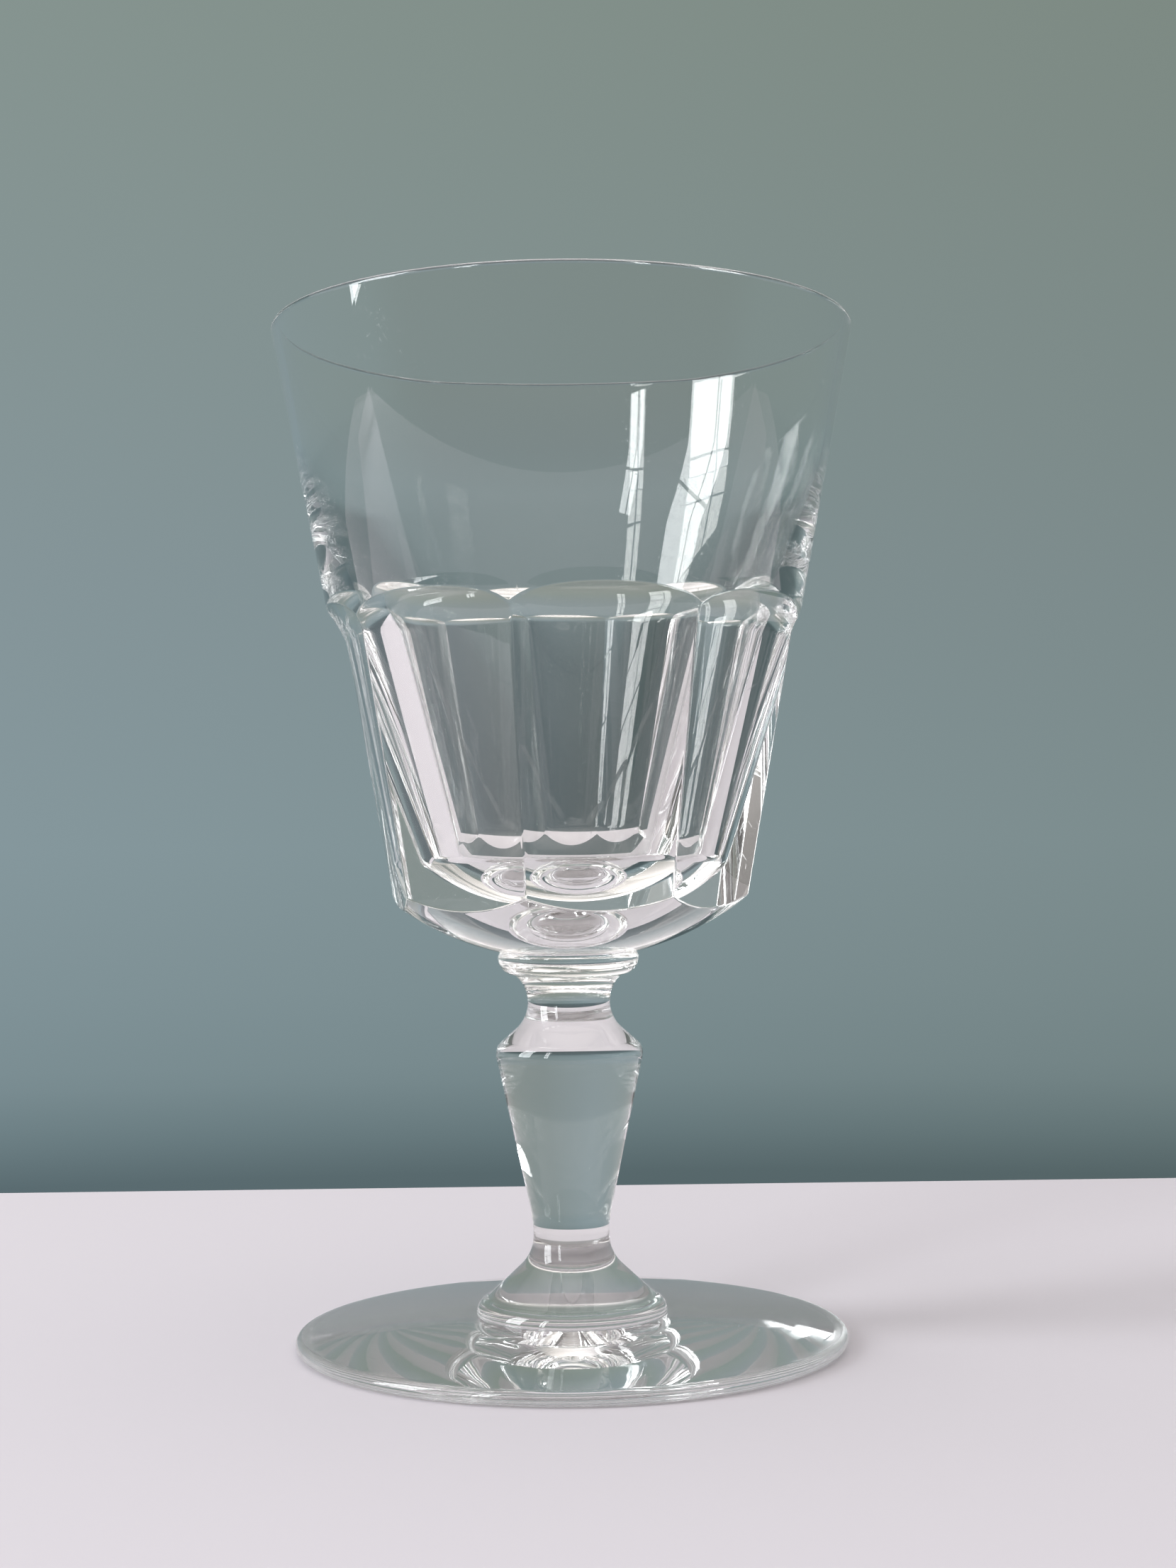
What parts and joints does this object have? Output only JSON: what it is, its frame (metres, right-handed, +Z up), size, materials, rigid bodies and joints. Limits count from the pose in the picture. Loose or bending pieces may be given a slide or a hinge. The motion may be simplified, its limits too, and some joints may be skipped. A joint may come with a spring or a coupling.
{
  "type": "wine glass",
  "caption": "Stemmed crystal wine glass: a tapered bowl with flat-cut panels below, a collar, a baluster stem and a round foot.",
  "frame": {"origin": "centre of the foot's underside, on the surface that the glass stands on", "axes": "+Z up along the axis of the stem and bowl; -Y towards the front, which a cut panel faces; +X to the right"},
  "size_m": [0.086, 0.086, 0.15],
  "materials": {
    "crystal": "clear, colourless, polished lead crystal"
  },
  "bodies": {
    "root": {"bowl": "crystal", "collar": "crystal", "stem": "crystal", "foot": "crystal"}
  },
  "joints": []
}
